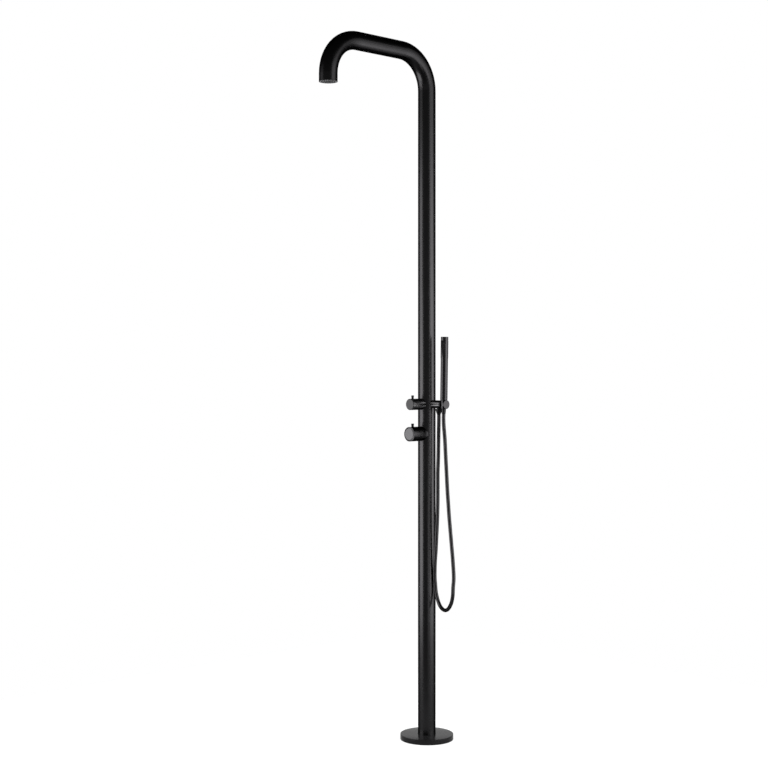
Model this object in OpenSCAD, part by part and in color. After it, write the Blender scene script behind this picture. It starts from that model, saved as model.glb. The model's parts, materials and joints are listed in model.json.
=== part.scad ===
// Freestanding shower: a tall bent column with a rain outlet at the end of its arm,
// a mixer and a diverter on its front, and a hand shower that stands in a side holder.
// Units are millimetres. The origin is the centre of the base, on the floor.
// Z is up, the arm and the controls point to -Y, and the holder points to +X.

/* [Column] */
// Outside diameter of the column tube
tube_d = 60; // [58:1:64]
// Wall of the column tube
tube_wall = 1.5; // [1:0.1:2]
// Height of the arm's centre line above the floor
arm_z = 2320; // [2240:5:2400]
// Distance from the column's axis to the outlet's axis
arm_reach = 446; // [380:2:520]
// Radius of both bends, at the centre line
bend_r = 122; // [100:1:140]
// Straight length of tube after the second bend
outlet_len = 27; // [25:1:60]

/* [Base] */
// Diameter of the base cover
base_d = 180; // [165:1:220]
// Thickness of the base cover's top and skirt
cover_wall = 3; // [2:0.5:4]
// Chamfer round the top edge of the base cover
cover_edge = 1.2; // [0.5:0.1:2]
// Thickness of the steel flange that is bolted to the floor
flange_h = 10; // [8:0.5:13]
// Diameter of the circle of floor bolts
bolt_circle_d = 130; // [110:1:140]
// Diameter of each floor bolt hole
bolt_hole_d = 9; // [7:0.5:11]
// Number of floor bolts
bolt_count = 4; // [3:1:8]
// Height of the spigot that the column stands over
spigot_h = 36; // [30:1:60]
// Wall of that spigot
spigot_wall = 5; // [4:0.5:5.5]
// Diameter of the screw that locks the column to its spigot
lock_screw_d = 6; // [4:0.5:8]

/* [Water inlets] */
// Height of the open end of each inlet nut
inlet_z = 14; // [12:1:40]
// Distance between the hot and the cold pipe
inlet_spacing = 22; // [21:0.5:23]
// Outside diameter of each inlet nut
inlet_nut_d = 20; // [18:0.5:20.5]
// Length of each inlet nut
inlet_nut_len = 18; // [16:1:24]
// Bore of the nut's thread
inlet_thread_d = 15; // [14:0.5:16]
// Depth of the nut's thread
inlet_thread_len = 10; // [8:1:12]
// Outside diameter of the supply pipes
supply_d = 12; // [10:0.5:12.5]
// Wall of every inner pipe
pipe_wall = 1; // [0.8:0.1:1.5]

/* [Mixer] */
// Height of the mixer's axis above the floor
mixer_z = 1037; // [980:1:1060]
// Diameter of the mixer's handle
mixer_d = 49; // [48:0.5:54]
// Diameter of the flat on the front of the handle
mixer_face_d = 38; // [30:0.5:44]
// Depth of the bevel round that flat
mixer_bevel = 2; // [1:0.1:3]
// Distance from the column's axis to the front of the handle
mixer_reach = 85.5; // [84:0.5:95]
// Diameter of the mixer's cartridge
mixer_cartridge_d = 35; // [34:0.5:36]
// Diameter of the shank of the mixer's lever pin
mixer_pin_d = 7; // [6:0.1:8]
// Diameter of the pin's flat head
mixer_pin_head_d = 8.8; // [8.2:0.1:10]

/* [Diverter] */
// Height of the diverter's axis above the mixer's axis
control_gap = 100; // [96:1:120]
// Diameter of the diverter's knob
diverter_d = 38; // [37:0.5:44]
// Diameter of the flat on the front of the knob
diverter_face_d = 34; // [28:0.5:36]
// Depth of the bevel round that flat
diverter_bevel = 1; // [0.5:0.1:2]
// Distance from the column's axis to the front of the knob
diverter_reach = 81.5; // [80:0.5:90]
// Diameter of the diverter's cartridge
diverter_cartridge_d = 25; // [24:0.5:25.5]
// Diameter of the shank of the diverter's lever pin
diverter_pin_d = 6; // [5:0.1:6.6]
// Diameter of the pin's ball
diverter_pin_ball_d = 7.6; // [7:0.1:8.5]

/* [Controls] */
// Distance from the column's axis to the front of the fixed collars
collar_reach = 50.5; // [49:0.5:52]
// Open seam between a collar and its handle
seam = 0.9; // [0.4:0.1:1.2]
// Depth of the hollow in the back of each handle
handle_hollow = 11; // [8:0.5:12]
// Diameter of the spindle that each handle turns on
spindle_d = 8; // [7:0.5:9]
// Distance from the column's axis to both lever pins
pin_reach = 68; // [67:0.5:70]
// Height that each lever pin stands above its handle
pin_h = 10.5; // [9:0.5:14]

/* [Side holder] */
// Diameter of the holder's bar
bar_d = 27; // [26:0.5:29]
// Diameter of the cradle at the end of the bar
cradle_d = 30; // [29.5:0.5:34]
// Distance from the column's axis to the hand shower's place in the cradle
cradle_x = 80; // [79:0.5:90]
// Width of the cradle's slot, which lets the hose through
slot_w = 13.4; // [13:0.1:15]
// Thinnest wall between the cradle's bore and the bar
cradle_wall = 1.4; // [1.2:0.1:3]
// Thickness of the round end of the cradle beside its bore
cradle_end_wall = 1.8; // [1.4:0.1:4]
// Bore of the bar, which carries the water to the hose
bar_bore_d = 12; // [10:0.5:13]
// Diameter of the bar's threaded spigot in the diverter
bar_spigot_d = 18; // [16:0.5:18.5]
// Distance from the column's axis to the hose outlet
hose_outlet_x = 57; // [55.5:0.5:58]

/* [Hand shower] */
// Diameter of the hand shower's grip
grip_d = 24.5; // [23.5:0.1:26]
// Wall of the grip
grip_wall = 2.5; // [2:0.1:4]
// Diameter of its head
head_d = 25.6; // [25:0.1:28]
// Length from the cradle's top to the top of the hand shower
hand_len = 212; // [180:1:260]
// Length of the head, which holds the spray face
head_len = 74; // [66:1:90]
// Length of the round end above the spray face
crown_len = 12; // [8:0.5:14]
// Diameter of the tail at its upper end
tail_d = 22; // [21:0.1:22.6]
// Narrowing of the tail from its upper to its lower end
tail_taper = 2; // [0.5:0.1:3]
// Depth of the flat spray face at its upper end
face_depth = 2.8; // [2.4:0.1:3]
// Width of the spray plate in that face
hand_plate_w = 9.6; // [8:0.1:10]
// Angle from the front to the spray face, towards the holder's side
hand_turn = 25; // [-90:1:90]
// Lean of the hand shower in its cradle, away from the column
hand_lean = 1; // [0:0.1:1.5]

/* [Hose] */
// Outside diameter of the hose
hose_d = 12.5; // [10:0.1:12.8]
// Diameter of the outlet nut's upper end
outlet_nut_d = 22; // [20:0.5:24]
// Diameter of the hand nut's upper end
hand_nut_d = 15.5; // [15:0.1:17]
// Length of both hose nuts
hose_nut_len = 17.2; // [16.5:0.1:22]

/* [Rain outlet] */
// Thickness of the spray plate
plate_h = 3; // [2:0.5:4]
// Depth of the spray plate inside the end of the tube
plate_inset = 0.5; // [0:0.1:2]
// Number of rings of spray nubs round the middle one
nub_rings = 3; // [2:1:3]
// Distance from one ring of nubs to the next
nub_pitch = 7.2; // [5:0.1:7.4]
// Diameter of each nub at its root
nub_d = 3.4; // [2.5:0.1:4]
// Height that each nub stands below the spray plate
nub_h = 2.2; // [1:0.1:4]

/* [Hidden] */

$fn = 72;

// Colours, as red, green and blue shares
black = [0.035, 0.034, 0.036];
grey = [0.16, 0.16, 0.165];
nub_grey = [0.09, 0.09, 0.092];
steel = [0.62, 0.63, 0.65];
brass = [0.78, 0.62, 0.32];
ceramic = [0.86, 0.86, 0.84];
rubber = [0.06, 0.06, 0.06];
pipe_white = [0.8, 0.82, 0.84];

// Clearances
gap = 0.2;        // radial, round pieces that are pushed together
fit = 0.05;       // radial, round shafts and pins in their holes
seat = 0.1;       // radial, round seals, spigots and collars
rest = 0.4;       // between faces that lie near each other
through = 1;      // how far a cutting shape passes the faces that it cuts

// Column
tube_id = tube_d - 2 * tube_wall;
bend_z = arm_z - bend_r;
outlet_z = bend_z - outlet_len;

// Base
base_h = flange_h + cover_wall;
cover_foot = 0.5;
cover_bore_d = tube_d + 2;
flange_d = base_d - 2 * (cover_wall + 1.5);
spigot_d = tube_id - 2 * seat;
lock_z = flange_h + spigot_h / 2;

// Valves inside the column
valve_d = tube_id - 6;
valve_wall = 2.4;
valve_back = 6;
mixer_half = 31;
diverter_half = 29;
diverter_z = mixer_z + control_gap;
ring_h = 6;
boss_reach = collar_reach - 1.5;
cartridge_reach = boss_reach - ring_h - 2;
mixer_boss_d = mixer_cartridge_d + 2 * (gap + valve_wall);
diverter_boss_d = diverter_cartridge_d + 2 * (gap + valve_wall);
pipe_socket = 10;
passage_d = 6;
passage_off = 8;
spindle_root = cartridge_reach - 18;
spindle_cap = 6;
mixed_pipe_d = 14;
riser_d = 16;

// Handles
grub_d = 4;
grub_len = 8;
pin_root = 4.5;

// Side holder, along the bar from the column's axis
bar_z = diverter_z;
bar_spigot_start = 14;
tail_fit = 0.2;
cradle_bore_d = tail_d + 2 * tail_fit;
cradle_start = cradle_x - cradle_bore_d / 2 - cradle_wall;
cradle_end = cradle_x + cradle_bore_d / 2 + cradle_end_wall;
cradle_edge = 0.8;
stud_d = bar_bore_d - 2 * seat;
stud_len = 5;

// Hand shower, as heights above the bar along its own leaning axis
tail_foot = -13.5;
grip_foot = cradle_d / 2 + rest;
hand_top = cradle_d / 2 + hand_len;
head_foot = hand_top - head_len;
crown_foot = hand_top - crown_len;
face_foot = head_foot + 2;
face_lean = atan(face_depth / (crown_foot - face_foot));
hand_plate_h = 1.2;
hand_mat_h = 0.8;
hand_nub_d = 1.6;
hand_nub_h = 0.7;
hand_plate_foot = 24;
hand_plate_top = (crown_foot - face_foot) / cos(face_lean) - 3;
head_bore_d = head_d - 12.6;
grip_bore_d = grip_d - 2 * grip_wall;

// Hose fittings, as heights above the bar on the axis of each fitting
nipple_d = 9;
nipple_bore_d = 5;
nipple_len = 9;
nipple_flange_d = 16;
washer_h = 2;
tail_flange_h = 1.5;
tail_sleeve_d = 8;
nut_bore_d = nipple_d + 2;
nut_band = 4;
outlet_nut_top = -cradle_d / 2 - 0.8;
hand_nut_top = tail_foot - rest;

// Route of the hose below the bar, as one free loop between its two nuts
hose_route = [
    [57, 0, -53], [57, -1, -97], [56, -1, -141], [56, -2, -185], [55, -3, -229],
    [55, -3, -273], [54, -2, -317], [53, -2, -361], [51, -2, -405], [48, -2, -449],
    [45, -2, -493], [41, -2, -536], [38, 0, -580], [39, 1.5, -607], [41, 3, -634.5],
    [51, 2, -662], [70, -4, -681], [95.5, -12.5, -687.5], [119.5, -20.5, -680],
    [139.5, -26.5, -659], [148.5, -28.5, -633.5], [150, -28, -605], [150, -25, -577],
    [147, -23, -550], [140, -20, -506], [131, -16, -463], [123, -13, -420],
    [115, -10, -377], [108, -7, -334], [101, -4, -290], [96, -2, -247], [91, 0, -203],
    [87, 1, -159], [84, 1, -115], [80.5, 0, -75], [79, 0, -51]
];
hose_sides = 12;
hand_axis = [sin(hand_lean), 0, cos(hand_lean)];
outlet_end = [hose_outlet_x, 0, outlet_nut_top - hose_nut_len];
hand_end = [cradle_x, 0, 0] + (hand_nut_top - hose_nut_len) * hand_axis;
hose_path = concat([outlet_end], hose_route, [hand_end]);

// Rain outlet
plate_z = outlet_z + plate_inset;
mat_z = plate_z + plate_h;
mat_h = 1.5;
plate_d = tube_id - 2 * seat;
mat_d = plate_d - 4;
chamber_d = mat_d - 6;
chamber_h = 12;
housing_h = 17;
neck_d = riser_d + 10;
neck_h = 12;
seal_d = 1.9;
seal_r = (tube_id - seal_d) / 2 - fit;
seal_z = mat_z + housing_h - 5;
riser_end_z = mat_z + housing_h;
nub_tip_d = nub_d - 1;
jet_d = 1;

// Places a piece on the axis of a control: its +Z points out of the column's front, its +Y up
module facing_front(z) {
    translate([0, 0, z]) rotate([90, 0, 0]) children();
}

// Places a piece on the axis of the holder's bar: its +Z points away from the column
module along_bar() {
    translate([0, 0, bar_z]) rotate([0, 90, 0]) children();
}

// Places a piece on the axis of the hose outlet, with its zero at the bar's height
module at_outlet() {
    translate([hose_outlet_x, 0, bar_z]) children();
}

// Places a piece on the leaning axis of the hand shower, with its zero at the bar's height
module in_cradle() {
    translate([cradle_x, 0, bar_z]) rotate([0, hand_lean, 0]) children();
}

// A round rod from one height to another
module rod(d, from, to) {
    translate([0, 0, from]) cylinder(d = d, h = to - from);
}

// A round tube from one height to another
module sleeve(od, id, from, to) {
    difference() {
        rod(od, from, to);
        rod(id, from - through, to + through);
    }
}

// A solid of revolution round Z, from its half outline
module turned(outline) {
    rotate_extrude() polygon(outline);
}

// A round rod along the column's centre line, from one height up over the arm to another
module bent_rod(d, from, to) {
    rod(d, from, bend_z);
    translate([0, -bend_r, bend_z]) rotate([90, 0, 90])
        rotate_extrude(angle = 90) translate([bend_r, 0]) circle(d = d);
    translate([0, -bend_r, arm_z]) rotate([90, 0, 0])
        cylinder(d = d, h = arm_reach - 2 * bend_r);
    translate([0, bend_r - arm_reach, bend_z]) rotate([90, 0, -90])
        rotate_extrude(angle = 90) translate([bend_r, 0]) circle(d = d);
    translate([0, -arm_reach, 0]) rod(d, to, bend_z);
}

// Base

module floor_flange() {
    color(steel) difference() {
        union() {
            rod(flange_d, 0, flange_h);
            rod(spigot_d, 0, flange_h + spigot_h);
        }
        rod(spigot_d - 2 * spigot_wall, -through, flange_h + spigot_h + through);
        for (i = [0 : bolt_count - 1])
            rotate([0, 0, 45 + i * 360 / bolt_count]) translate([bolt_circle_d / 2, 0, 0])
                rod(bolt_hole_d, -through, flange_h + through);
        facing_front(lock_z) rod(lock_screw_d + 2 * fit, -spigot_d, -spigot_d / 4);
    }
}

// A shallow turned cover over the flange, open below
module base_cover() {
    rim = base_d / 2;
    inner = rim - cover_wall;
    hole = cover_bore_d / 2;
    color(black) turned([
        [hole, flange_h], [inner, flange_h], [inner, cover_foot], [rim, cover_foot],
        [rim, base_h - cover_edge], [rim - cover_edge, base_h], [hole, base_h]
    ]);
}

module cover_seal() {
    color(rubber) sleeve(cover_bore_d - 2 * seat, tube_d + 2 * seat, flange_h, base_h - seat);
}

// Column

module column_tube() {
    color(black) difference() {
        bent_rod(tube_d, flange_h, outlet_z);
        bent_rod(tube_id, flange_h - through, outlet_z - through);
        facing_front(mixer_z) rod(mixer_boss_d + 2 * gap, 0, tube_d);
        facing_front(diverter_z) rod(diverter_boss_d + 2 * gap, 0, tube_d);
        along_bar() rod(bar_spigot_d + 2 * gap, 0, tube_d);
        facing_front(lock_z) rod(lock_screw_d + 2 * gap, -tube_d, 0);
    }
}

// The screw sits flush in the back of the column
module column_lock_screw() {
    tip = spigot_d / 2 - spigot_wall;
    head = tube_d / 2 - 0.3;
    color(steel) facing_front(lock_z) difference() {
        rod(lock_screw_d, -head, -tip);
        rotate([180, 0, 0]) translate([0, 0, head - 3]) cylinder(d = lock_screw_d / 2, h = 4, $fn = 6);
    }
}

// Water supply

// A round nut with its thread open below and its pipe pushed in above
module inlet_nut(side) {
    foot = inlet_z;
    top = inlet_z + inlet_nut_len;
    shoulder = inlet_z + inlet_thread_len + 2;
    translate([side * inlet_spacing / 2, 0, 0]) difference() {
        rod(inlet_nut_d, foot, top);
        rod(inlet_thread_d, foot - through, foot + inlet_thread_len);
        rod(supply_d - 2 * pipe_wall, foot, top);
        rod(supply_d + 2 * gap, shoulder, top + through);
    }
}

module supply_pipe(side) {
    translate([side * inlet_spacing / 2, 0, 0])
        sleeve(supply_d, supply_d - 2 * pipe_wall,
            inlet_z + inlet_thread_len + 2, mixer_z - mixer_half + pipe_socket);
}

module hot_inlet_nut() { color(brass) inlet_nut(-1); }
module cold_inlet_nut() { color(brass) inlet_nut(1); }
module hot_supply_pipe() { color(pipe_white) supply_pipe(-1); }
module cold_supply_pipe() { color(pipe_white) supply_pipe(1); }

module mixed_water_pipe() {
    color(pipe_white) sleeve(mixed_pipe_d, mixed_pipe_d - 2 * pipe_wall,
        mixer_z + mixer_half - pipe_socket, diverter_z - diverter_half + pipe_socket);
}

// The riser runs inside the column and the arm, from the diverter to the rain outlet
module riser_pipe() {
    foot = diverter_z + diverter_half - pipe_socket;
    color(pipe_white) difference() {
        bent_rod(riser_d, foot, riser_end_z);
        bent_rod(riser_d - 2 * pipe_wall, foot - through, riser_end_z - through);
    }
}

// Valves

// A brass block in the column, with a boss through the column's front that takes a cartridge
module valve_block(z, half, boss_d, cartridge_d) {
    difference() {
        union() {
            rod(valve_d, z - half, z + half);
            facing_front(z) rod(boss_d, 0, boss_reach);
        }
        facing_front(z) rod(cartridge_d + 2 * gap, valve_back, boss_reach + through);
    }
}

// A passage into the floor of the cartridge's bore
module cartridge_port(x, up) {
    translate([x, 0, up]) rotate([90, 0, 0]) rod(passage_d, 0, valve_back + through);
}

module mixer_body() {
    color(brass) difference() {
        valve_block(mixer_z, mixer_half, mixer_boss_d, mixer_cartridge_d);
        translate([0, 0, mixer_z]) {
            for (x = [-inlet_spacing / 2, inlet_spacing / 2]) {
                translate([x, 0, 0]) {
                    rod(supply_d + 2 * gap, -mixer_half - through, pipe_socket - mixer_half);
                    rod(passage_d, -mixer_half, -passage_off + passage_d / 2);
                }
                cartridge_port(x, -passage_off);
            }
            rod(mixed_pipe_d + 2 * gap, mixer_half - pipe_socket, mixer_half + through);
            rod(passage_d, passage_off - passage_d / 2, mixer_half);
            cartridge_port(0, passage_off);
        }
    }
}

module diverter_body() {
    half = diverter_half;
    color(brass) difference() {
        valve_block(diverter_z, half, diverter_boss_d, diverter_cartridge_d);
        translate([0, 0, diverter_z]) {
            rod(mixed_pipe_d + 2 * gap, -half - through, pipe_socket - half);
            rod(riser_d + 2 * gap, half - pipe_socket, half + through);
            for (up = [-1, 1]) {
                rotate([up * 90 - 90, 0, 0]) rod(passage_d, passage_off - passage_d / 2, half);
                cartridge_port(0, up * passage_off);
            }
            cartridge_port(passage_off, 0);
        }
        along_bar() {
            rod(bar_spigot_d + 2 * gap, bar_spigot_start, valve_d);
            rod(passage_d, passage_off - passage_d / 2, valve_d);
        }
    }
}

// A fixed collar round the boss, cut to sit on the round column
module collar(z, d, boss_d) {
    difference() {
        facing_front(z) sleeve(d, boss_d + 2 * gap, 0, collar_reach);
        rod(tube_d + 2 * seat, z - d, z + d);
    }
}

module cartridge(z, d) {
    facing_front(z) difference() {
        rod(d, valve_back, cartridge_reach);
        rod(spindle_d + 2 * fit, spindle_root - 0.5, cartridge_reach + through);
    }
}

module retaining_ring(z, d) {
    facing_front(z) sleeve(d, spindle_d + 2, cartridge_reach, cartridge_reach + ring_h);
}

module spindle(z, reach) {
    facing_front(z) rod(spindle_d, spindle_root, reach - spindle_cap - rest);
}

// A round handle with a bevelled front and a hollow back, whose hub takes the spindle
module handle(z, d, face_d, bevel, boss_d, reach, lever_d) {
    back = collar_reach + seam;
    hollow = boss_d / 2 + 2 * gap;
    hollow_top = back + handle_hollow;
    hub = spindle_d / 2 + fit;
    facing_front(z) difference() {
        turned([
            [hub, hollow_top], [hollow, hollow_top], [hollow, back], [d / 2, back],
            [d / 2, reach - bevel], [face_d / 2, reach], [0, reach],
            [0, reach - spindle_cap], [hub, reach - spindle_cap]
        ]);
        translate([0, 0, pin_reach]) {
            rotate([-90, 0, 0]) rod(lever_d + 2 * fit, d / 2 - pin_root - rest, d);
            rotate([90, 0, 0]) rod(grub_d + 2 * fit, spindle_d / 4, d);
        }
    }
}

// A hexagon socket screw, in the underside of its handle, that holds the spindle
module grub_screw(z) {
    tip = spindle_d / 2 + fit;
    facing_front(z) translate([0, 0, pin_reach]) rotate([90, 0, 0]) difference() {
        rod(grub_d, tip, tip + grub_len);
        translate([0, 0, tip + grub_len - 2]) cylinder(d = grub_d / 2, h = 2 + through, $fn = 6);
    }
}

// Places a lever pin upright on a handle, with its zero at the handle's surface
module on_handle(z, d) {
    translate([0, -pin_reach, z + d / 2]) children();
}

module mixer_collar() { color(black) collar(mixer_z, mixer_d, mixer_boss_d); }
module diverter_collar() { color(black) collar(diverter_z, diverter_d, diverter_boss_d); }
module mixer_cartridge() { color(ceramic) cartridge(mixer_z, mixer_cartridge_d); }
module diverter_cartridge() { color(ceramic) cartridge(diverter_z, diverter_cartridge_d); }
module mixer_retaining_ring() { color(brass) retaining_ring(mixer_z, mixer_cartridge_d); }
module diverter_retaining_ring() { color(brass) retaining_ring(diverter_z, diverter_cartridge_d); }
module mixer_spindle() { color(steel) spindle(mixer_z, mixer_reach); }
module diverter_spindle() { color(steel) spindle(diverter_z, diverter_reach); }
module mixer_grub_screw() { color(steel) grub_screw(mixer_z); }
module diverter_grub_screw() { color(steel) grub_screw(diverter_z); }

module mixer_handle() {
    color(black) handle(mixer_z, mixer_d, mixer_face_d, mixer_bevel,
        mixer_boss_d, mixer_reach, mixer_pin_d);
}

module diverter_knob() {
    color(black) handle(diverter_z, diverter_d, diverter_face_d, diverter_bevel,
        diverter_boss_d, diverter_reach, diverter_pin_d);
}

// The mixer's pin flares into a flat head
module mixer_lever_pin() {
    shank = mixer_pin_d / 2;
    head = mixer_pin_head_d / 2;
    edge = 0.4;
    color(black) on_handle(mixer_z, mixer_d) turned([
        [0, -pin_root], [shank, -pin_root], [shank, pin_h - 4.4], [head, pin_h - 3.4],
        [head, pin_h - edge], [head - edge, pin_h], [0, pin_h]
    ]);
}

// The diverter's pin ends in a ball
module diverter_lever_pin() {
    ball_z = pin_h - diverter_pin_ball_d / 2;
    color(black) on_handle(diverter_z, diverter_d) {
        rod(diverter_pin_d, -pin_root, ball_z);
        translate([0, 0, ball_z]) sphere(d = diverter_pin_ball_d, $fn = 48);
    }
}

// Rain outlet

// One copy of a piece at the middle, and one at each nub of the rings round it
module at_nubs() {
    children();
    for (ring = [1 : nub_rings])
        for (i = [0 : 6 * ring - 1])
            rotate([0, 0, i * 60 / ring]) translate([ring * nub_pitch, 0, 0]) children();
}

// The housing closes the tube's end, joins the riser and holds a ring seal in its groove
module rain_outlet_housing() {
    bore_d = riser_d - 2 * pipe_wall;
    color(grey) translate([0, -arm_reach, mat_z]) difference() {
        union() {
            rod(plate_d, 0, housing_h);
            rod(neck_d, 0, housing_h + neck_h);
        }
        rod(mat_d + 2 * seat, -through, mat_h);
        rod(chamber_d, 0, chamber_h);
        rod(bore_d, 0, housing_h + through);
        rod(riser_d + 2 * gap, housing_h, housing_h + neck_h + through);
        translate([0, 0, seal_z - mat_z]) rotate_extrude()
            translate([seal_r, 0]) circle(d = seal_d + 2 * seat, $fn = 32);
    }
}

module rain_outlet_seal() {
    color(rubber) translate([0, -arm_reach, seal_z]) rotate_extrude()
        translate([seal_r, 0]) circle(d = seal_d, $fn = 32);
}

module rain_spray_plate() {
    color(grey) translate([0, -arm_reach, plate_z]) difference() {
        rod(plate_d, 0, plate_h);
        at_nubs() rod(nub_d + 2 * seat, -through, plate_h + through, $fn = 24);
    }
}

// A soft mat behind the spray plate, whose nubs stand out through the plate's holes
module rain_nub_mat() {
    color(nub_grey) translate([0, -arm_reach, mat_z]) difference() {
        union() {
            rod(mat_d, 0, mat_h);
            at_nubs() turned([
                [0, -plate_h - nub_h], [nub_tip_d / 2, -plate_h - nub_h], [nub_d / 2, -plate_h],
                [nub_d / 2, mat_h / 2], [0, mat_h / 2]
            ], $fn = 24);
        }
        at_nubs() rod(jet_d, -plate_h - nub_h - through, mat_h + through, $fn = 16);
    }
}

// Side holder

// The bar is cut to sit on the round column, and its spigot reaches into the diverter
module holder_bar() {
    color(black) difference() {
        union() {
            difference() {
                along_bar() rod(bar_d, 0, cradle_start);
                rod(tube_d + 2 * seat, bar_z - bar_d, bar_z + bar_d);
            }
            along_bar() rod(bar_spigot_d, bar_spigot_start, tube_d / 2 + 5);
        }
        along_bar() rod(bar_bore_d, 0, cradle_start + through);
        at_outlet() rod(nipple_d + 2 * gap, -bar_d, 0);
    }
}

// The cradle is a short round bar with a tapered upright bore and a slot in its front
module holder_cradle() {
    length = cradle_end - cradle_start;
    rim = cradle_d / 2;
    foot = -cradle_d / 2 - through;
    top = cradle_d / 2 + through;
    slope = tail_taper / (grip_foot - tail_foot);
    foot_d = cradle_bore_d - slope * (grip_foot - foot);
    top_d = cradle_bore_d + slope * (top - grip_foot);
    color(black) difference() {
        union() {
            along_bar() translate([0, 0, cradle_start]) turned([
                [0, 0], [rim - cradle_edge, 0], [rim, cradle_edge], [rim, length - cradle_edge],
                [rim - cradle_edge, length], [0, length]
            ]);
            along_bar() rod(stud_d, cradle_start - stud_len, cradle_start + cradle_edge);
        }
        in_cradle() translate([0, 0, foot]) cylinder(d1 = foot_d, d2 = top_d, h = top - foot);
        translate([cradle_x - slot_w / 2, -cradle_d, bar_z - cradle_d])
            cube([slot_w, cradle_d, 2 * cradle_d]);
    }
}

// Hose and its fittings

// The nipple's flange is cut to sit on the underside of the round bar
module hose_outlet_nipple() {
    tip = outlet_nut_top - nipple_len;
    color(black) at_outlet() difference() {
        union() {
            rod(nipple_d, tip, -bar_bore_d / 2);
            difference() {
                rod(nipple_flange_d, outlet_nut_top + rest, 0);
                rotate([0, 90, 0]) cylinder(d = bar_d + 2 * seat, h = 2 * bar_d, center = true);
            }
        }
        rod(nipple_bore_d, tip - through, 0);
    }
}

// A round nut with a short band and a cone: it takes a nipple above and the hose's tail below
module hose_nut(d, top) {
    foot = top - hose_nut_len;
    floor_top = top - nipple_len - washer_h - tail_flange_h - fit;
    bore = nut_bore_d / 2;
    hole = tail_sleeve_d / 2 + fit;
    turned([
        [hole, foot], [hose_d / 2 + 0.5, foot], [d / 2, top - nut_band], [d / 2, top],
        [bore, top], [bore, floor_top], [hole, floor_top]
    ]);
}

module hose_washer(top) {
    face = top - nipple_len;
    sleeve(nut_bore_d - 2 * fit, nipple_bore_d, face - washer_h + fit, face);
}

// The tail is pressed into the hose's end, and its flange turns in the nut
module hose_tail(top) {
    face = top - nipple_len - washer_h;
    flange_foot = face - tail_flange_h;
    difference() {
        union() {
            rod(nut_bore_d - 2 * fit, flange_foot, face);
            rod(tail_sleeve_d, top - hose_nut_len, face);
        }
        rod(nipple_bore_d, top - hose_nut_len - through, face + through);
    }
}

module hose_outlet_nut() { color(black) at_outlet() hose_nut(outlet_nut_d, outlet_nut_top); }
module hose_outlet_washer() { color(rubber) at_outlet() hose_washer(outlet_nut_top); }
module hose_outlet_tail() { color(brass) at_outlet() hose_tail(outlet_nut_top); }
module hand_hose_nut() { color(black) in_cradle() hose_nut(hand_nut_d, hand_nut_top); }
module hand_hose_washer() { color(rubber) in_cradle() hose_washer(hand_nut_top); }
module hand_hose_tail() { color(brass) in_cradle() hose_tail(hand_nut_top); }

// The direction of the path at a point: both ends are square to their nuts
function unit(v) = v / norm(v);
function heading(path, i) =
    i == 0 ? [0, 0, -1] :
    i == len(path) - 1 ? hand_axis :
    unit(path[i + 1] - path[i - 1]);

// The corners of the tube round one point of its path
function ring(centre, along, r) =
    let (side = unit(cross([0, 1, 0], along)), front = cross(along, side))
    [for (k = [0 : hose_sides - 1])
        let (a = 360 * k / hose_sides) centre + r * (cos(a) * side + sin(a) * front)];

// A tube swept along a path, as one closed polyhedron
module swept_tube(path, d) {
    n = hose_sides;
    last = len(path) - 1;
    corners = [for (i = [0 : last]) each ring(path[i], heading(path, i), d / 2)];
    walls = [
        for (i = [0 : last - 1])
            for (k = [0 : n - 1])
                let (a = i * n + k, b = i * n + (k + 1) % n)
                each [[a, b + n, b], [a, a + n, b + n]]
    ];
    foot = [for (k = [1 : n - 2]) [0, k, k + 1]];
    head = [for (k = [1 : n - 2]) [last * n, last * n + k + 1, last * n + k]];
    polyhedron(points = corners, faces = concat(walls, foot, head), convexity = 8);
}

module shower_hose() {
    color(rubber) translate([0, 0, bar_z]) swept_tube(hose_path, hose_d);
}

// Hand shower

// Places a piece on the flat spray face: +Z runs up the face, and -Y points out of it
module on_face() {
    in_cradle() rotate([0, 0, hand_turn]) translate([0, -head_d / 2, face_foot])
        rotate([-face_lean, 0, 0]) children();
}

// An upright block with round ends, from one depth below the face to another
module face_slot(w, foot, top, from, to) {
    for (z = [foot + w / 2, top - w / 2])
        translate([0, 0, z]) rotate([-90, 0, 0]) rod(w, from, to);
    translate([-w / 2, from, foot + w / 2]) cube([w, to - from, top - foot - w]);
}

// One copy of a piece at each nub of the spray face, in three columns
module at_hand_nubs() {
    rows = 8;
    side = hand_plate_w * 0.3;
    step = (hand_plate_top - hand_plate_foot - hand_plate_w) / (rows - 1);
    for (i = [0 : rows - 1])
        for (x = [-side, 0, side])
            translate([x, 0, hand_plate_foot + hand_plate_w / 2 + i * step])
                rotate([-90, 0, 0]) children();
}

module hand_shower_body() {
    tip = hand_nut_top - nipple_len;
    shoulder = 4;
    color(black) difference() {
        in_cradle() turned([
            [nipple_bore_d / 2, tip], [nipple_d / 2, tip], [nipple_d / 2, tail_foot],
            [(tail_d - tail_taper) / 2, tail_foot], [tail_d / 2, grip_foot],
            [grip_d / 2, grip_foot], [grip_d / 2, head_foot], [head_d / 2, head_foot + shoulder],
            [head_d / 2, crown_foot], [head_bore_d / 2, crown_foot], [head_bore_d / 2, head_foot],
            [grip_bore_d / 2, head_foot - 8], [grip_bore_d / 2, grip_foot + 16],
            [nipple_bore_d / 2, grip_foot + 6]
        ]);
        on_face() translate([-head_d, -head_d, -2 * head_d])
            cube([2 * head_d, head_d, hand_plate_top + 2 * head_d + 4]);
        on_face() face_slot(hand_plate_w + 2 * seat, hand_plate_foot - seat, hand_plate_top + seat,
            -through, hand_plate_h + hand_mat_h);
        on_face() face_slot(4, hand_plate_foot + 4, hand_plate_top - 4, 0, head_d / 2);
    }
}

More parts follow.
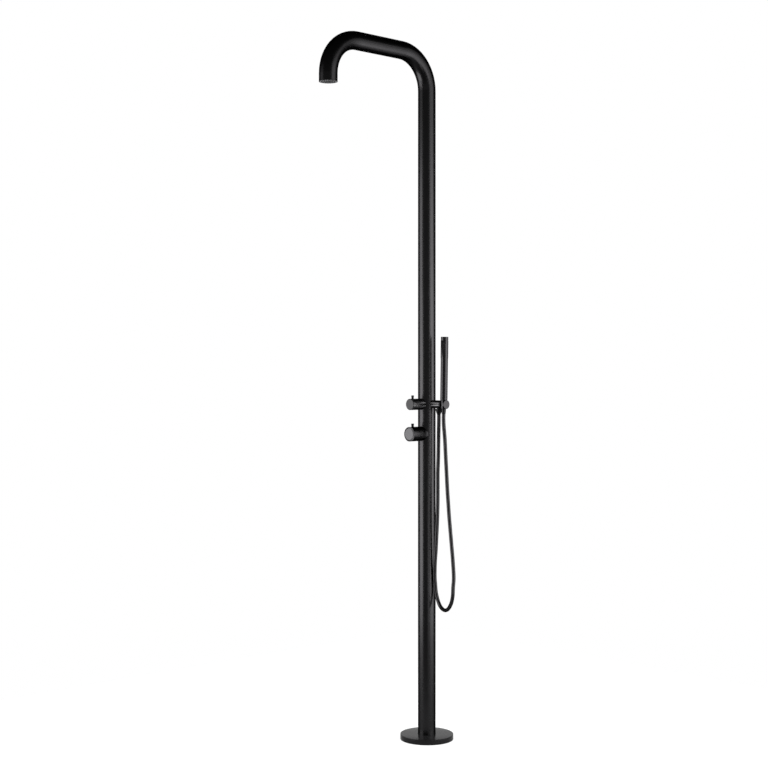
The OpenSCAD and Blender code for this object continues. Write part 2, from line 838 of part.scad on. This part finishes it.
module hand_spray_plate() {
    color(black) on_face() difference() {
        face_slot(hand_plate_w, hand_plate_foot, hand_plate_top, 0, hand_plate_h);
        at_hand_nubs() rod(hand_nub_d + 2 * seat, -through, hand_plate_h + through, $fn = 16);
    }
}

module hand_nub_mat() {
    color(nub_grey) on_face() {
        face_slot(hand_plate_w, hand_plate_foot, hand_plate_top,
            hand_plate_h, hand_plate_h + hand_mat_h);
        at_hand_nubs() rod(hand_nub_d, -hand_nub_h, hand_plate_h + hand_mat_h / 2, $fn = 16);
    }
}

// The crown plugs the head's bore and closes it with a round end, past a thin shadow line
module hand_shower_crown() {
    rim = head_d / 2 - 0.3;
    plug = head_bore_d / 2 - seat;
    neck = rim - 0.8;
    edge = 0.8;
    color(black) in_cradle() turned([
        [0, crown_foot - 2], [plug, crown_foot - 2], [plug, crown_foot], [neck, crown_foot],
        [neck, crown_foot + 0.6], [rim, crown_foot + 0.6], [rim, hand_top - edge],
        [rim - edge, hand_top], [0, hand_top]
    ]);
}

floor_flange();
base_cover();
cover_seal();
column_tube();
column_lock_screw();
hot_inlet_nut();
cold_inlet_nut();
hot_supply_pipe();
cold_supply_pipe();
mixer_body();
mixer_collar();
mixer_cartridge();
mixer_retaining_ring();
mixer_spindle();
mixer_handle();
mixer_lever_pin();
mixer_grub_screw();
mixed_water_pipe();
diverter_body();
diverter_collar();
diverter_cartridge();
diverter_retaining_ring();
diverter_spindle();
diverter_knob();
diverter_lever_pin();
diverter_grub_screw();
riser_pipe();
rain_outlet_housing();
rain_outlet_seal();
rain_spray_plate();
rain_nub_mat();
holder_bar();
holder_cradle();
hose_outlet_nipple();
hose_outlet_nut();
hose_outlet_washer();
hose_outlet_tail();
shower_hose();
hand_hose_tail();
hand_hose_nut();
hand_hose_washer();
hand_shower_body();
hand_spray_plate();
hand_nub_mat();
hand_shower_crown();
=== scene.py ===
import json
import math

import bmesh
import bpy
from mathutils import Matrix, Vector


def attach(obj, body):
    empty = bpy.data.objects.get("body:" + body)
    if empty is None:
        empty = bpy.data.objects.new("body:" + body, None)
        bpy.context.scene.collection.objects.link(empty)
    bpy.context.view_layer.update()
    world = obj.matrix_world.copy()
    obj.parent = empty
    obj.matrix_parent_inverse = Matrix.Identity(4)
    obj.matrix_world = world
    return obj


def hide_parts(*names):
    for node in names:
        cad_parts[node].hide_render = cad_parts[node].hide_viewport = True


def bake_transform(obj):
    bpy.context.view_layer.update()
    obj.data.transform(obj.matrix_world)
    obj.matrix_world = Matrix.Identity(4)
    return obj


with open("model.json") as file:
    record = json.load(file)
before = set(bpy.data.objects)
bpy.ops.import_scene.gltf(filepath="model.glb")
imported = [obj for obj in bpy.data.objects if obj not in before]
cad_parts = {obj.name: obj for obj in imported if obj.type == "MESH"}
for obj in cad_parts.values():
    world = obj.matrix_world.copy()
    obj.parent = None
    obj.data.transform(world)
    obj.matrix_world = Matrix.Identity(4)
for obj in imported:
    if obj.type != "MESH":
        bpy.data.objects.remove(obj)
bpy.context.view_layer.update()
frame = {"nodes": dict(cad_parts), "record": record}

# Heights and distances that part.scad also holds, in metres
BAR_Z = 1.137
HOSE_D = 0.0125

# The hose's route, as part.scad has it: x, y, and z above the bar, in millimetres
HOSE_ROUTE = [
    (57, 0, -33), (57, 0, -53), (57, -1, -97), (56, -1, -141), (56, -2, -185), (55, -3, -229),
    (55, -3, -273), (54, -2, -317), (53, -2, -361), (51, -2, -405), (48, -2, -449),
    (45, -2, -493), (41, -2, -536), (38, 0, -580), (39, 1.5, -607), (41, 3, -634.5),
    (51, 2, -662), (70, -4, -681), (95.5, -12.5, -687.5), (119.5, -20.5, -680),
    (139.5, -26.5, -659), (148.5, -28.5, -633.5), (150, -28, -605), (150, -25, -577),
    (147, -23, -550), (140, -20, -506), (131, -16, -463), (123, -13, -420),
    (115, -10, -377), (108, -7, -334), (101, -4, -290), (96, -2, -247), (91, 0, -203),
    (87, 1, -159), (84, 1, -115), (80.5, 0, -75), (79, 0, -51), (79.457, 0, -31.1),
]
HOSE_STEPS = 6
HOSE_SIDES = 32

# The hand shower's lean in degrees
HAND_LEAN = 1

# The height at which the hose's rising leg begins to follow the hand shower, and the stretch of
# height over which it comes to follow it wholly, in metres
LIFT_FROM = 0.5
LIFT_OVER = 0.59

# The cover's height in millimetres
COVER_H = 18

# The steps round a softened edge
EDGE_STEPS = 4

# The levers' place in front of the column, in metres
LEVER_Y = -0.068

# The way from the object to the camera, level
FRONT = (0.723, -0.691, 0)

# The way in which the floor's gloss fades in front, the way back and the way up
FLOOR_FRONT = (0.643, -0.766, 0)
BACK = (0, 1, 0)
UP = (0, 0, 1)

# The plain light of the world, and the floor's half width in metres, grey and glow to the eye
WORLD_LIGHT = 0.5
FLOOR_HALF = 1.5
FLOOR_GREY = 0.22
FLOOR_SEEN = 0.8

# The soft lamps: azimuth in degrees from +X, middle height, width and tallness in metres, and
# brightness. They stand in a ring, and one above the aim looks down at it.
LAMP_DISTANCE = 2.0
LAMP_AIM = 1.2
LAMPS = {
    "left_softbox": (-122, 0.76, 1.9, 1.48, 7.4),
    "middle_left_softbox": (-127, 1.86, 1.5, 0.72, 5.4),
    "upper_left_softbox": (-127, 2.52, 1.5, 0.6, 0.9),
    "right_softbox": (26, 0.885, 2.35, 1.73, 6.4),
    "low_right_softbox": (-19, 0.42, 0.5, 0.8, 3.0),
    "middle_right_softbox": (22, 2.0, 2.1, 0.5, 5.2),
    "upper_right_softbox": (19, 2.62, 2.1, 0.74, 2.2),
}

# The grain's noise scales, and the strength and the depth in metres of its fine bump
GRAIN_SCALE = 30
FINE_SCALE = 360
BUMP_STRENGTH = 0.02
BUMP_DEPTH = 0.0002

# The places of the colour sockets on a Mix node, whose names other sockets share
MIX_FIRST = 6
MIX_SECOND = 7
MIX_RESULT = 2

# Each material: two colours and two roughnesses, between which it varies, and its other settings
MATERIALS = {
    "column_black": ((0.02, 0.0195, 0.0203), (0.024, 0.0235, 0.0243), 0.24, 0.3,
                     {"metallic": 1.0, "edge": 0.25}),
    "control_black": ((0.03, 0.0295, 0.0303), (0.036, 0.0355, 0.0363), 0.24, 0.32,
                      {"metallic": 1.0, "edge": 0.35}),
    # The mixer's, diverter's and bar's blacks are copies of the controls' black: the mixer's is
    # darker, painted shade, and the diverter's and the bar's are lighter, painted light.
    "mixer_black": ((0.0145, 0.0142, 0.0147), (0.0175, 0.0172, 0.0178), 0.24, 0.32,
                    {"metallic": 1.0, "edge": 0.35}),
    "diverter_black": ((0.045, 0.0443, 0.0455), (0.054, 0.0533, 0.0545), 0.24, 0.32,
                       {"metallic": 1.0, "edge": 0.35}),
    "bar_black": ((0.056, 0.0552, 0.0566), (0.066, 0.0652, 0.0668), 0.24, 0.32,
                  {"metallic": 1.0, "edge": 0.35}),
    "pin_black": ((0.01, 0.01, 0.0103), (0.014, 0.014, 0.0143), 0.26, 0.34,
                  {"metallic": 1.0, "edge": 0.2}),
    "hand_shower_black": ((0.02, 0.0195, 0.0203), (0.024, 0.0235, 0.0243), 0.22, 0.3,
                          {"metallic": 1.0, "edge": 0.25}),
    "hose_black": ((0.018, 0.0175, 0.0183), (0.023, 0.0225, 0.0233), 0.28, 0.36,
                   {"metallic": 1.0, "edge": 0.25}),
    "cover_black": ((0.006, 0.0059, 0.0061), (0.009, 0.0088, 0.0092), 0.18, 0.24,
                    {"specular": 0.08}),
    "flange_steel": ((0.5, 0.5, 0.52), (0.6, 0.6, 0.62), 0.28, 0.42, {"metallic": 1.0}),
    "small_steel": ((0.55, 0.55, 0.57), (0.64, 0.64, 0.66), 0.22, 0.34, {"metallic": 1.0}),
    "valve_brass": ((0.6, 0.44, 0.2), (0.72, 0.54, 0.27), 0.28, 0.42, {"metallic": 1.0}),
    "cartridge_white": ((0.7, 0.7, 0.68), (0.78, 0.78, 0.75), 0.4, 0.5, {}),
    "pipe_white": ((0.7, 0.72, 0.74), (0.78, 0.8, 0.82), 0.35, 0.5, {}),
    "seal_rubber": ((0.02, 0.02, 0.02), (0.035, 0.035, 0.035), 0.6, 0.75, {}),
    "spray_grey": ((0.095, 0.095, 0.098), (0.12, 0.12, 0.124), 0.5, 0.65, {"specular": 0.15}),
    "nub_grey": ((0.012, 0.012, 0.0124), (0.018, 0.018, 0.0186), 0.6, 0.75, {"specular": 0.1}),
}

# The nodes that have a material of their own in place of their slot's. The mixer's, the diverter's
# and the bar's carry painted light and shade.
OWN_MATERIALS = {
    "pin_black": ("hose_outlet_nipple", "hose_outlet_nut", "hand_hose_nut", "column_lock_screw"),
    "mixer_black": ("mixer_collar", "mixer_handle"),
    "diverter_black": ("diverter_collar", "diverter_knob"),
    "bar_black": ("holder_bar",),
}


# Camera

def make_camera():
    """A nearly level camera at the photograph's angle."""
    data = bpy.data.cameras.new("camera")
    data.sensor_width = 36
    data.lens = 68.2
    data.shift_y = -0.02
    camera = bpy.data.objects.new("camera", data)
    camera.location = (3.475, -3.5144, 1.268)
    camera.rotation_euler = (math.radians(89.873), 0, math.radians(46.3625))
    bpy.context.scene.collection.objects.link(camera)
    bpy.context.scene.camera = camera


# Node helpers

def join_values(nodes, links, operation, first, second):
    """One value from two, by a Math node."""
    join = nodes.new("ShaderNodeMath")
    join.operation = operation
    links.new(first, join.inputs[0])
    links.new(second, join.inputs[1])
    return join.outputs[0]


def fade(nodes, links, place, direction, near, far, low, high):
    """Goes from low to high as a place, measured along a direction, goes from near to far."""
    along = nodes.new("ShaderNodeVectorMath")
    along.operation = "DOT_PRODUCT"
    along.inputs[1].default_value = direction
    links.new(place, along.inputs[0])
    shade = nodes.new("ShaderNodeMapRange")
    shade.interpolation_type = "SMOOTHSTEP"
    shade.inputs["From Min"].default_value = near
    shade.inputs["From Max"].default_value = far
    shade.inputs["To Min"].default_value = low
    shade.inputs["To Max"].default_value = high
    links.new(along.outputs["Value"], shade.inputs["Value"])
    return shade.outputs["Result"]


def seen_ray(nodes, links):
    """One where the ray comes from the camera, a gloss or a transmission, and none elsewhere."""
    rays = nodes.new("ShaderNodeLightPath").outputs
    seen = join_values(nodes, links, "MAXIMUM", rays["Is Camera Ray"], rays["Is Glossy Ray"])
    return join_values(nodes, links, "MAXIMUM", seen, rays["Is Transmission Ray"])


# Stage

def studio_white(nodes, links):
    """One for the camera. Gloss finds one behind the object, less in front, above and below, and
    more far down behind it, which lights the underside of the arm."""
    place = nodes.new("ShaderNodeTexCoord").outputs["Generated"]
    rays = nodes.new("ShaderNodeLightPath").outputs
    front = fade(nodes, links, place, FRONT, near=-0.9, far=0.0, low=1.0, high=0.5)
    above = fade(nodes, links, place, UP, near=0.06, far=0.24, low=1.0, high=0.2)
    below = fade(nodes, links, place, UP, near=-0.2, far=-0.02, low=0.35, high=1.0)
    level = join_values(nodes, links, "MULTIPLY", above, below)
    wall = join_values(nodes, links, "MULTIPLY", front, level)
    middle = fade(nodes, links, place, FRONT, near=-0.95, far=-0.7, low=1.0, high=0.0)
    upper = fade(nodes, links, place, UP, near=0.16, far=0.24, low=0.0, high=1.0)
    backdrop = join_values(nodes, links, "MULTIPLY", middle, upper)
    under = fade(nodes, links, place, UP, near=-0.6, far=-0.3, low=3.6, high=0.0)
    behind = fade(nodes, links, place, BACK, near=0.4, far=0.6, low=0.0, high=1.0)
    glow = join_values(nodes, links, "MULTIPLY", under, behind)
    glow = join_values(nodes, links, "MULTIPLY", glow, rays["Is Glossy Ray"])
    gloss = join_values(nodes, links, "MAXIMUM", wall, backdrop)
    gloss = join_values(nodes, links, "MAXIMUM", gloss, glow)
    return join_values(nodes, links, "MAXIMUM", rays["Is Camera Ray"], gloss)


def make_world():
    """White to the eye and behind the object in reflections, and a plain light on the object."""
    world = bpy.data.worlds.new("studio")
    bpy.context.scene.world = world
    world.use_nodes = True
    nodes, links = world.node_tree.nodes, world.node_tree.links
    nodes.clear()
    seen = nodes.new("ShaderNodeBackground")
    seen.inputs["Color"].default_value = (1, 1, 1, 1)
    links.new(studio_white(nodes, links), seen.inputs["Strength"])
    light = nodes.new("ShaderNodeBackground")
    light.inputs["Color"].default_value = (1, 1, 1, 1)
    light.inputs["Strength"].default_value = WORLD_LIGHT
    mix = nodes.new("ShaderNodeMixShader")
    out = nodes.new("ShaderNodeOutputWorld")
    links.new(seen_ray(nodes, links), mix.inputs["Fac"])
    links.new(light.outputs[0], mix.inputs[1])
    links.new(seen.outputs[0], mix.inputs[2])
    links.new(mix.outputs[0], out.inputs["Surface"])


def floor_glow(nodes, links):
    """The floor's own glow: bright to the eye, and in gloss a half that fades in front and behind."""
    place = nodes.new("ShaderNodeTexCoord").outputs["Object"]
    front = fade(nodes, links, place, FLOOR_FRONT, near=0.3, far=0.85, low=0.5, high=0.0)
    back = fade(nodes, links, place, FRONT, near=-0.6, far=-0.1, low=0.2, high=1.0)
    gloss = join_values(nodes, links, "MULTIPLY", front, back)
    gloss = join_values(nodes, links, "MULTIPLY", seen_ray(nodes, links), gloss)
    camera = nodes.new("ShaderNodeMath")
    camera.operation = "MULTIPLY"
    camera.inputs[1].default_value = FLOOR_SEEN
    links.new(nodes.new("ShaderNodeLightPath").outputs["Is Camera Ray"], camera.inputs[0])
    return join_values(nodes, links, "MAXIMUM", camera.outputs[0], gloss)


def make_floor():
    """A wide pale floor that shows the object's soft shadow."""
    mesh = bpy.data.meshes.new("floor")
    corners = [(-1, -1), (1, -1), (1, 1), (-1, 1)]
    mesh.from_pydata([(x * FLOOR_HALF, y * FLOOR_HALF, 0) for x, y in corners], [], [(0, 1, 2, 3)])
    floor = bpy.data.objects.new("floor", mesh)
    bpy.context.scene.collection.objects.link(floor)
    material = bpy.data.materials.new("floor_white")
    material.use_nodes = True
    nodes, links = material.node_tree.nodes, material.node_tree.links
    nodes.clear()
    diffuse = nodes.new("ShaderNodeBsdfDiffuse")
    diffuse.inputs["Color"].default_value = (FLOOR_GREY, FLOOR_GREY, FLOOR_GREY, 1)
    glow = nodes.new("ShaderNodeEmission")
    links.new(floor_glow(nodes, links), glow.inputs["Strength"])
    add = nodes.new("ShaderNodeAddShader")
    out = nodes.new("ShaderNodeOutputMaterial")
    links.new(diffuse.outputs[0], add.inputs[0])
    links.new(glow.outputs[0], add.inputs[1])
    links.new(add.outputs[0], out.inputs["Surface"])
    mesh.materials.append(material)


def make_softbox(name, azimuth, height, width, tall, brightness):
    """A soft rectangular lamp in the ring round the object, turned to the column."""
    data = bpy.data.lights.new(name, "AREA")
    data.shape = "RECTANGLE"
    data.size = width
    data.size_y = tall
    data.energy = math.pi * width * tall * brightness
    lamp = bpy.data.objects.new(name, data)
    angle = math.radians(azimuth)
    place = Vector((LAMP_DISTANCE * math.cos(angle), LAMP_DISTANCE * math.sin(angle), height))
    lamp.location = place
    direction = Vector((0, 0, min(height, LAMP_AIM))) - place
    lamp.rotation_euler = direction.to_track_quat("-Z", "Y").to_euler()
    bpy.context.scene.collection.objects.link(lamp)


def make_lights():
    """All the soft lamps."""
    for name, row in LAMPS.items():
        make_softbox(name, *row)


# Materials

def new_material(name, colour, roughness, metallic=0.0, specular=0.5, edge=1.0):
    """A plain material. The edge is the share of the reflection that is left at grazing angles."""
    material = bpy.data.materials.new(name)
    material.use_nodes = True
    shader = material.node_tree.nodes["Principled BSDF"]
    shader.inputs["Base Color"].default_value = (*colour, 1)
    shader.inputs["Metallic"].default_value = metallic
    shader.inputs["Roughness"].default_value = roughness
    shader.inputs["Specular IOR Level"].default_value = specular
    shader.inputs["Specular Tint"].default_value = (edge, edge, edge, 1)
    return material


def add_grain(material, colour, colour_2, roughness, roughness_2):
    """Lets the colour and the roughness vary a little over the surface, with a fine bump."""
    nodes, links = material.node_tree.nodes, material.node_tree.links
    shader = nodes["Principled BSDF"]
    place = nodes.new("ShaderNodeTexCoord")
    noise = nodes.new("ShaderNodeTexNoise")
    noise.inputs["Scale"].default_value = GRAIN_SCALE
    noise.inputs["Detail"].default_value = 6
    links.new(place.outputs["Object"], noise.inputs["Vector"])
    tint = nodes.new("ShaderNodeMix")
    tint.data_type = "RGBA"
    tint.inputs[MIX_FIRST].default_value = (*colour, 1)
    tint.inputs[MIX_SECOND].default_value = (*colour_2, 1)
    links.new(noise.outputs["Fac"], tint.inputs["Factor"])
    links.new(tint.outputs[MIX_RESULT], shader.inputs["Base Color"])
    rough = nodes.new("ShaderNodeMapRange")
    rough.inputs["To Min"].default_value = roughness
    rough.inputs["To Max"].default_value = roughness_2
    links.new(noise.outputs["Fac"], rough.inputs["Value"])
    links.new(rough.outputs["Result"], shader.inputs["Roughness"])
    fine = nodes.new("ShaderNodeTexNoise")
    fine.inputs["Scale"].default_value = FINE_SCALE
    fine.inputs["Detail"].default_value = 3
    links.new(place.outputs["Object"], fine.inputs["Vector"])
    relief = nodes.new("ShaderNodeBump")
    relief.inputs["Strength"].default_value = BUMP_STRENGTH
    relief.inputs["Distance"].default_value = BUMP_DEPTH
    links.new(fine.outputs["Fac"], relief.inputs["Height"])
    links.new(relief.outputs["Normal"], shader.inputs["Normal"])


def paint_light_and_shade(material, measure, direction, near, far, share):
    """Paints shade, and light where the share is above one: takes the colour to a share of itself
    where a coordinate, measured along a direction, goes from near to far."""
    nodes, links = material.node_tree.nodes, material.node_tree.links
    shader = nodes["Principled BSDF"]
    colour = shader.inputs["Base Color"].links[0].from_socket
    place = nodes.new("ShaderNodeTexCoord").outputs[measure]
    level = fade(nodes, links, place, direction, near, far, low=1.0, high=share)
    scale = nodes.new("ShaderNodeVectorMath")
    scale.operation = "SCALE"
    links.new(colour, scale.inputs[0])
    links.new(level, scale.inputs["Scale"])
    links.new(scale.outputs[0], shader.inputs["Base Color"])


def paint_cap_light_and_shade(material, share):
    """Paints light on the flat cap at a control's front for a share above one, and shade for one
    below: takes the cap's colour to a share of the sides' colour.
    """
    paint_light_and_shade(material, "Normal", (0, -1, 0), near=0.85, far=0.97, share=share)


def make_materials():
    """One material for each slot of the record, and others for the levers, controls and bar. The
    column's has painted shade along the arm. The mixer's black is painted shade with painted light
    on its cap, the diverter's is painted light with painted shade on its cap, and the bar's is
    painted light."""
    made = {}
    for name, (colour, colour_2, roughness, roughness_2, settings) in MATERIALS.items():
        made[name] = new_material(name, colour, roughness, **settings)
        add_grain(made[name], colour, colour_2, roughness, roughness_2)
    # Painted shade: the tube's black goes to 0.55 of itself along the arm, from 2.2 m to 2.3 m up.
    paint_light_and_shade(made["column_black"], "Object", UP, near=2.2, far=2.3, share=0.55)
    # Painted light on the mixer's cap, 2.1 times its sides' black, and painted shade on the
    # diverter's cap, 0.38 of its sides' black.
    paint_cap_light_and_shade(made["mixer_black"], 2.1)
    paint_cap_light_and_shade(made["diverter_black"], 0.38)
    return made


def finish_nodes(materials):
    """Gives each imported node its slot's material, or its own."""
    for row in frame["record"]["subparts"]:
        node = frame["nodes"][row["node"]]
        node.data.materials.clear()
        node.data.materials.append(materials[row["material_slot"]])
    for material, names in OWN_MATERIALS.items():
        for name in names:
            frame["nodes"][name].data.materials[0] = materials[material]


# Geometry helpers

def add_piece(name, mesh, material, body, *nodes):
    """Links a piece, gives it a material and sets it in place of some nodes, on a body if it has
    one body alone."""
    piece = bpy.data.objects.new(name, mesh)
    bpy.context.scene.collection.objects.link(piece)
    mesh.materials.append(material)
    if body:
        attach(piece, body)
    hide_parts(*nodes)
    return piece


def join_rings(mesh, rings):
    """Faces between each ring of points and the next. Points that a ring repeats count once."""
    for low, high in zip(rings, rings[1:]):
        sides = len(low)
        for k in range(sides):
            n = (k + 1) % sides
            corners = [low[k], low[n], high[n], high[k]]
            mesh.faces.new(list(dict.fromkeys(corners)))


def finish_mesh(mesh, name):
    """Turns the faces outwards and keeps the mesh under a name."""
    bmesh.ops.recalc_face_normals(mesh, faces=mesh.faces)
    data = bpy.data.meshes.new(name)
    mesh.to_mesh(data)
    mesh.free()
    return data


def smooth_curve(points, steps):
    """Points along a smooth curve through the given ones, each stretch in so many steps."""
    line = []
    last = len(points) - 1
    for i in range(last):
        before = points[max(i - 1, 0)]
        start, end = points[i], points[i + 1]
        after = points[min(i + 2, last)]
        for step in range(steps):
            t = step / steps
            pull = (2 * start + (end - before) * t
                    + (2 * before - 5 * start + 4 * end - after) * t ** 2
                    + (3 * start - before - 3 * end + after) * t ** 3)
            line.append(pull / 2)
    line.append(points[last])
    return line


def tube_mesh(name, line, radius, sides, start_way, end_way):
    """A closed round tube along a line of points."""
    mesh = bmesh.new()
    rings = []
    last = len(line) - 1
    for i, centre in enumerate(line):
        way = line[min(i + 1, last)] - line[max(i - 1, 0)]
        if i == 0:
            way = Vector(start_way)
        if i == last:
            way = Vector(end_way)
        way.normalize()
        side = Vector((0, 1, 0)).cross(way).normalized()
        front = way.cross(side)
        ring = []
        for k in range(sides):
            angle = 2 * math.pi * k / sides
            point = centre + radius * (math.cos(angle) * side + math.sin(angle) * front)
            ring.append(mesh.verts.new(point))
        rings.append(ring)
    join_rings(mesh, rings)
    mesh.faces.new(rings[0][::-1])
    mesh.faces.new(rings[-1])
    data = finish_mesh(mesh, name)
    for face in data.polygons:
        face.use_smooth = len(face.vertices) == 4
    return data


def turned_mesh(name, profile, place, sides=48):
    """A round solid from a profile of radius and height in millimetres. The profile goes from the
    axis to the axis, or it is a ring's and comes back to its first point."""
    mesh = bmesh.new()
    rings = []
    for radius, height in profile:
        if rings and radius > 0 and (radius, height) == profile[0]:
            rings.append(rings[0])
            continue
        centre = Vector(place) + Vector((0, 0, height / 1000))
        if radius == 0:
            rings.append([mesh.verts.new(centre)] * sides)
            continue
        ring = []
        for k in range(sides):
            angle = 2 * math.pi * k / sides
            out = Vector((math.cos(angle), math.sin(angle), 0)) * radius / 1000
            ring.append(mesh.verts.new(centre + out))
        rings.append(ring)
    join_rings(mesh, rings)
    data = finish_mesh(mesh, name)
    data.shade_smooth()
    data.set_sharp_from_angle(angle=math.radians(40))
    return data


def rounded(radius, height, edge):
    """The profile's points round the edge under a flat top, and the top's centre."""
    points = []
    for step in range(EDGE_STEPS + 1):
        angle = math.pi / 2 * step / EDGE_STEPS
        points.append((radius - edge + edge * math.cos(angle),
                       height - edge + edge * math.sin(angle)))
    return points + [(0, height)]


# Floor cover

def make_cover(materials):
    """The round cover on the floor, open below, with a softened rim. Sizes are in millimetres."""
    rim = 90
    bore = 30.5
    edge = 1.0
    bevel = 0.4
    foot = 0.5
    wall = 3
    ceiling = COVER_H - wall
    profile = [(rim, foot)] + rounded(rim, COVER_H, edge)[:-1]
    profile += [(bore + bevel, COVER_H), (bore, COVER_H - bevel), (bore, ceiling)]
    profile += [(rim - wall, ceiling), (rim - wall, foot), (rim, foot)]
    mesh = turned_mesh("floor_cover", profile, (0, 0, 0), sides=160)
    cover = add_piece("floor_cover", mesh, materials["cover_black"], "stand", "base_cover")


# Lever pins

def make_pins(materials):
    """The levers' pins stand in their handles' rims and have softly rounded heads."""
    mixer = [(0, -4.5), (4.4, -4.5), (4.4, 5.4), (4.8, 6.2)] + rounded(4.8, 10.8, 0.9)
    diverter = [(0, -4.5), (4.0, -4.5), (4.0, 4.8), (4.6, 6.2)] + rounded(4.6, 11.3, 2.2)
    for name, profile, height, body in (
            ("mixer_lever", mixer, 1.0615, "mixer_control"),
            ("diverter_lever", diverter, 1.156, "diverter_control")):
        mesh = turned_mesh(name, profile, (0, LEVER_Y, height))
        pin = add_piece(name, mesh, materials["pin_black"], body, name + "_pin")


# Hose

def share_lift(line, sides):
    """Works out, for each ring, the share by which it would follow the hand shower: along the rising
    leg by its height, and none on the other leg. The shares are not kept.
    """
    lowest = min(range(len(line)), key=lambda i: line[i].z)
    shares = []
    for i, centre in enumerate(line):
        t = min(max((centre.z - LIFT_FROM) / LIFT_OVER, 0), 1)
        share = t * t * (3 - 2 * t) if i > lowest else 0
        shares += [share] * sides


def make_hose(materials):
    """The smooth hose along its route."""
    points = [Vector((x, y, z)) / 1000 + Vector((0, 0, BAR_Z)) for x, y, z in HOSE_ROUTE]
    line = smooth_curve(points, HOSE_STEPS)
    lean = math.radians(HAND_LEAN)
    end_way = (math.sin(lean), 0, math.cos(lean))
    mesh = tube_mesh("hose", line, HOSE_D / 2, HOSE_SIDES, (0, 0, -1), end_way)
    hose = add_piece("hose", mesh, materials["hose_black"], None, "shower_hose")
    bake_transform(hose)
    share_lift(line, HOSE_SIDES)


bpy.context.scene.view_settings.view_transform = "Standard"
make_camera()
make_world()
make_floor()
make_lights()
materials = make_materials()
finish_nodes(materials)
make_cover(materials)
make_pins(materials)
make_hose(materials)
